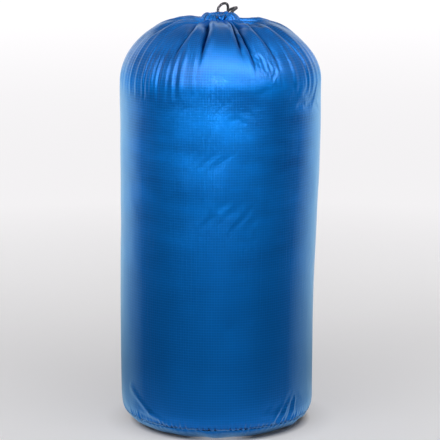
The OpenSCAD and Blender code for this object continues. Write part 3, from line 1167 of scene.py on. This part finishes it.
def cord_holes(theta, r, height):
    """How calm the folds are near the cord's two holes, and how far the cloth sinks into them."""
    calm = np.zeros_like(theta)
    sunk = np.zeros_like(theta)
    for angle in (TALL_EXIT, LOW_EXIT):
        gap = np.hypot(wrap(theta - angle - math.pi / 2) * RING_R, r - RING_R) + (height < 4 * MM)
        calm = np.maximum(calm, 1 - smooth(gap, 2.4 * MM, 5 * MM))
        sunk = sunk + 0.9 * MM * (1 - smooth(gap, 1.0 * MM, 2.2 * MM))
    return calm * (height > 4 * MM), sunk


def collar(material):
    """The hem gathered round the cord, with its throat drawn shut."""
    columns = 420
    section = np.array(COLLAR_SECTION) * MM
    section[:, 1] += CHANNEL_FOOT
    rows, stops = resample(section, lambda length, total: 0.6 * MM)
    stops = stops[:, None]
    normals = row_normals(rows)
    theta = turns(columns, len(rows))
    r = rows[:, :1] + 0 * theta
    height = (rows[:, 1:] - CHANNEL_FOOT) + 0 * theta
    twisted = theta + 0.12 * (0.25 * np.sin(2 * theta) + stops * 9.0)
    amount = 0.6 + 1.1 * (1 - smooth(stops, 0, 11 * MM)) + 0.5 * bump(stops, 26 * MM, 9 * MM)
    small = Ripples(41, (30, 60), (100, 500), 20)
    offset = MM * (amount * (pleats(twisted) - 0.6) + 0.16 * small(theta, stops))
    calm, sunk = cord_holes(theta, r, height)
    flap = collar_flap(theta, height) * (stops < 14 * MM)
    offset = (offset - sunk) * (1 - 0.8 * calm) - 1.5 * MM * flap
    offset = offset * smooth(r, 0, 6 * MM)
    wave = 0.35 * MM * Ripples(42, (3, 11), (0, 1), 12)(theta, 0 * theta)
    z = rows[:, 1:] + offset * normals[:, 1:] + wave * smooth(height, 0, 8 * MM)
    points = round_points(r + offset * normals[:, :1], theta, z)
    faces = grid_faces(len(rows), columns) + [last_cap(len(rows), columns)]
    obj = new_object("drawcord_channel_gathers", points, faces, material)
    # painted shade in the valleys of the pleats and along the flap's grooves
    crease = 0.8 * np.maximum(np.clip(1 - 2.2 * pleats(twisted), 0, 1), flap)
    across, along = theta * SACK_R, stops + 0 * theta
    fabric_piece(obj, across, along, "ripstop_blue", "drawcord_channel", crease=crease)


def channel_stitching(sheet, material):
    """Running stitches that close the channel at its foot."""
    names = ("channel_stitches", material, "channel_stitching")
    stitch_ring(sheet, names, count=40, stop=sheet.stops[-1] - 2.9 * MM, width=0.7 * MM)


def buttonhole_stitching(material):
    """Satin stitches side by side round the two holes where the cord comes out."""
    parts = Parts()
    count = 22
    up = np.array((0.0, 0.0, 1.0))
    for angle in (TALL_EXIT, LOW_EXIT):
        middle = np.array((RING_R * math.cos(angle), RING_R * math.sin(angle), COLLAR_TOP - 0.3 * MM))
        for a in np.linspace(0, 2 * math.pi, count, endpoint=False):
            out = np.array((math.cos(a), math.sin(a), 0.0))
            start = middle + out * 1.7 * MM - up * 0.3 * MM
            add_stitch(parts, start, middle + out * 3.2 * MM, up, 0.62 * MM)
    parts.sewn("buttonhole_stitches", material, "buttonhole_stitching")


# ---- drawcord ----

X_AXIS, Y_AXIS, Z_AXIS = Vector((1, 0, 0)), Vector((0, 1, 0)), Vector((0, 0, 1))


def ring_point(angle, z):
    return Vector((RING_R * math.cos(angle), RING_R * math.sin(angle), z))


def cord_arch(foot, end, bow, rise):
    """The free arch between the channel and the drop behind it, bowed sideways and flattened by rise."""
    middle = (foot + end) / 2
    half = (end - foot) / 2
    points = []
    for t in np.linspace(0, math.pi, 40):
        point = middle - half * math.cos(t) + Z_AXIS * rise * half.length * math.sin(t)
        points.append(point + X_AXIS * bow * math.sin(t) ** 1.5)
    return points


def cord_leg(exit_angle, arch_z, side, bow, rise):
    """One leg of the cord from the channel, over its arch, through the lock and down to its tag."""
    outward = side * CORD_PITCH / 2
    drop_r = ENTRY_R - outward
    exit_point = ring_point(exit_angle, arch_z)
    top = Vector((CORD_X, ENTRY_Y - drop_r, arch_z))
    entry = Vector((CORD_X, ENTRY_Y, LOCK.z + ENTRY_R))
    straight = Vector((CORD_X, STRAIGHT_END_Y, LOCK.z + outward))
    shoulder = Vector((CORD_X, STRAIGHT_END_Y, LOCK.z - SHOULDER_R))
    sine, cosine = math.sin(SHOULDER_ANGLE), math.cos(SHOULDER_ANGLE)
    wide_r = (PIVOT.y - STRAIGHT_END_Y - SHOULDER_R * sine) / (1 - sine)
    wide = shoulder + (SHOULDER_R - wide_r) * (sine * Y_AXIS + cosine * Z_AXIS)
    points = [ring_point(exit_angle, RING_Z)]
    points += cord_arch(exit_point, top, bow, rise)
    points += arc(entry, Y_AXIS, Z_AXIS, drop_r, math.pi, 1.5 * math.pi)
    points += [straight]
    bend = math.pi / 2 - SHOULDER_ANGLE
    points += arc(shoulder, Y_AXIS, Z_AXIS, SHOULDER_R + outward, math.pi / 2, bend)
    points += arc(wide, Y_AXIS, Z_AXIS, wide_r + outward, bend, 0)
    return points + hanging_tail(side)


def hanging_tail(side):
    """The tail below the pivot: the two strands turn once round each other, then splay."""
    points = []
    for t in np.linspace(0, 1, 50)[1:]:
        turn = 2 * math.pi * smooth(t, 0.15, 0.85)
        spread = side * CORD_PITCH / 2
        across = Vector((math.sin(turn), math.cos(turn), 0)) * spread
        points.append(PIVOT + across + Z_AXIS * (KNOT_Z - PIVOT.z) * float(t))
    for t in np.linspace(0, 1, 10)[1:]:
        splay = side * (CORD_PITCH / 2 + 0.9 * MM * t)
        points.append(PIVOT + Vector((0.6 * splay, splay, KNOT_Z - PIVOT.z - TAG_L * t)))
    return points


def ring_path():
    """The cord's way round inside the channel."""
    turn = np.linspace(TALL_EXIT, 2 * math.pi + LOW_EXIT, 160)
    return [ring_point(a, RING_Z) for a in turn]


BRAID_LAY = 3 * MM
# the share of the yarn crossings that stay dark
DARK_SHARE = 0.86


def braid(stops, sides):
    """Height of the braid over the cord's surface (0 to 1) and its pale flecks."""
    phi = np.arange(sides)[None, :] / sides
    s = stops[:, None] / BRAID_LAY
    u, v = 4 * phi + s, 4 * phi - s
    over = (np.floor(u) + np.floor(v)) % 2
    height = np.where(over > 0, np.abs(np.sin(math.pi * u)), np.abs(np.sin(math.pi * v)))
    # a fixed value for each crossing, as good as random
    seed = np.sin(np.floor(u) % 4 * 12.9898 + np.floor(s * 2) * 78.233) * 43758.5453
    fleck = ((seed - np.floor(seed)) > DARK_SHARE) * over
    return height, fleck


CORD_STEP = 0.5 * MM
CORD_SIDES = 20


def add_cord(parts, path, stops, radius=CORD_R):
    height, fleck = braid(stops, CORD_SIDES)
    thick = radius + 0.22 * MM * (height - 0.65)
    parts.add(*tube_mesh(path, thick, CORD_SIDES), braid=height, fleck=fleck)


def knot(parts):
    """An overhand knot of the doubled cord."""
    t = np.linspace(0, 2 * math.pi, 150)
    around = 2.1 + np.cos(3 * t)
    path = np.stack([around * np.cos(2 * t), around * np.sin(2 * t), 1.5 * np.sin(3 * t)], axis=1)
    path = path * 1.05 * MM + np.array((PIVOT.x, PIVOT.y, KNOT_Z))
    add_cord(parts, path, lengths_along(path), CORD_R * 0.9)


def drawcord(material):
    """One cord from tag to tag, cut inside the lock: the rest hangs."""
    tall = cord_leg(TALL_EXIT, TALL_ARCH_Z, side=1, bow=1.5 * MM, rise=0.74)
    low = cord_leg(LOW_EXIT, LOW_ARCH_Z, side=-1, bow=7.5 * MM, rise=0.62)
    path, stops = even_path(tall[::-1] + ring_path() + low, CORD_STEP, softness=4)
    behind = path[:, 1] > LOCK.y
    first = int(np.argmin(behind))
    last = len(path) - int(np.argmin(behind[::-1]))
    fixed, loose = Parts(), Parts()
    add_cord(fixed, path[first - 1 : last + 1], stops[first - 1 : last + 1])
    add_cord(loose, path[:first], stops[:first])
    add_cord(loose, path[last:], stops[last:])
    knot(loose)
    cord = fixed.build("drawcord_braided", material)
    finish_piece(cord, "drawcord")
    tails = loose.build("cord_tails_braided", material)
    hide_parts("cord_tails")
    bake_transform(tails)


# ---- cord lock ----

SPRING_TURNS = 4
SPRING_WIRE_R = 0.3 * MM


def lock_spring(material):
    """The coil inside the lock; it is built at one length, though the real one shortens as the plunger
    goes in.
    """
    low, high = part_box("cord_lock_spring")
    coil_r = (high.y - low.y) / 2 - SPRING_WIRE_R
    turn = np.linspace(0, 2 * math.pi * SPRING_TURNS, 40 * SPRING_TURNS)
    x = np.linspace(low.x + SPRING_WIRE_R, high.x - SPRING_WIRE_R, len(turn))
    path = np.stack([x, LOCK.y + coil_r * np.cos(turn), LOCK.z + coil_r * np.sin(turn)], axis=1)
    sides = 10
    wire = np.full((len(turn), sides), SPRING_WIRE_R)
    coil = new_object("lock_spring_coil", *tube_mesh(path, wire, sides), material)
    finish_piece(coil, "cord_lock_spring", "lock")
    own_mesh(coil)


def cord_lock(plastic, cap_plastic):
    """The lock keeps its CAD shape; a small bevel rounds its edges."""
    for name, material in (("cord_lock_barrel", plastic), ("cord_lock_plunger", cap_plastic)):
        for slot in NODES[name].material_slots:
            slot.material = material
        bevel = NODES[name].modifiers.new("rounded_edges", "BEVEL")
        bevel.width = 0.25 * MM
        bevel.segments = 2
        bevel.limit_method = "ANGLE"


# ---- stage, light and camera ----


def floor():
    """A wide round floor with nothing behind it, so that it looks the same from every side."""
    rings = np.concatenate([np.linspace(0.02, 1.0, 20), np.geomspace(1.1, 30.0, 20)])
    count = 48
    turn = np.linspace(0, 2 * math.pi, count, endpoint=False)
    verts = [(r * math.cos(a), -r * math.sin(a), 0.0) for r in rings for a in turn]
    faces = grid_faces(len(rings), count) + [first_cap(count)]
    new_object("floor", verts, faces, floor_material())


def place_and_aim(obj, place, target):
    """Puts a lamp or a camera in the scene, turned to a target."""
    obj.location = place
    obj.rotation_euler = (Vector(target) - Vector(place)).to_track_quat("-Z", "Y").to_euler()
    bpy.context.scene.collection.objects.link(obj)


def area_light(name, place, target, size, power, spread=180):
    light = bpy.data.lights.new(name, "AREA")
    light.shape = "RECTANGLE"
    light.size, light.size_y = size
    light.energy = power
    light.spread = math.radians(spread)
    place_and_aim(bpy.data.objects.new(name, light), place, target)


WORLD_DIM = 0.03
WORLD_WHITE = 0.99
GLOSS_FRONT = 0.02
GLOSS_BEHIND = 1.0


def studio_world():
    """White to the camera and in low reflections behind the sack, dark in front, and dim as light."""
    s = Shader("studio", "worlds", "Background")
    path = s.add("ShaderNodeLightPath").outputs
    direction = s.axes(s.add("ShaderNodeTexCoord").outputs["Generated"])
    lowness = s.between(direction["Z"], 0.15, 0.6, 1.0, 0.05)
    behind = s.times(direction["Y"], lowness)
    mirrored = s.between(behind, -0.15, 0.7, GLOSS_FRONT, GLOSS_BEHIND)
    strength = s.between(path["Is Glossy Ray"], 0.0, 1.0, WORLD_DIM, mirrored)
    strength = s.between(path["Is Camera Ray"], 0.0, 1.0, strength, WORLD_WHITE)
    s.set(Color=STUDIO_WHITE, Strength=strength)
    bpy.context.scene.world = s.owner


SOFTBOX_PLACE = (0.08, -0.62, 1.08)
SOFTBOX_TARGET = (0.03, 0, 0.38)
SOFTBOX_SIZE = (2.3, 0.4)
FILL_DISTANCE = 2.3
FILL_HEIGHT = 0.95
FILL_SIZE = (0.9, 0.6)
FILL_TARGET = (0, 0, 0.56)
# side, angle round the sack in degrees, watts
FILLS = [("left", -36, 0.7), ("middle", 0, 1.1), ("right", 34, 0.5)]


def lighting():
    studio_world()
    # the large soft light above the front makes the band across the shoulder
    area_light("top_softbox", SOFTBOX_PLACE, SOFTBOX_TARGET, SOFTBOX_SIZE, 9.2)
    # gridded and aimed high, so that the lower half of the sack falls off into the dark
    for side, degrees, power in FILLS:
        place = round_points(FILL_DISTANCE, math.radians(degrees), FILL_HEIGHT)
        area_light("front_fill_" + side, place, FILL_TARGET, FILL_SIZE, power, spread=28)


CAMERA_PLACE = (0, -2.356, 0.678)
CAMERA_TARGET = (0, 0, 0.22)
CAMERA_LENS = 182


def camera():
    data = bpy.data.cameras.new("camera")
    data.sensor_width = 36
    data.lens = CAMERA_LENS
    obj = bpy.data.objects.new("camera", data)
    place_and_aim(obj, CAMERA_PLACE, CAMERA_TARGET)
    bpy.context.scene.camera = obj


# ---- build ----

bpy.context.scene.view_settings.view_transform = "Standard"
ripstop = ripstop_material("ripstop", (0.0, 0.105, 0.42, 1), (0.0, 0.215, 0.78, 1))
blue_thread = thread_material("blue_thread", (0.006, 0.14, 0.5, 1))
black_thread = thread_material("black_thread", (0.02, 0.02, 0.024, 1))
filling = packed_filling(filling_material())
body = side_panel(ripstop, filling)
side_seam_stitching(body, blue_thread)
base_seam_stitching(body, blue_thread)
base_panel(ripstop_material("base_ripstop", (0.0, 0.13, 0.48, 1), (0.0, 0.18, 0.62, 1)))
base_seam_binding(tape_material())
webbing = webbing_material()
webbing_half("handle_webbing_left", -1, webbing)
webbing_half("handle_webbing_right", 1, webbing)
handle_bartacks(black_thread)
collar(ripstop)
channel_stitching(body, blue_thread)
buttonhole_stitching(blue_thread)
drawcord(cord_material())
cord_lock(
    plastic_material("lock_plastic", (0.012, 0.012, 0.014, 1)),
    plastic_material("plunger_plastic", (0.02, 0.02, 0.022, 1)),
)
lock_spring(steel_material())
floor()
lighting()
camera()
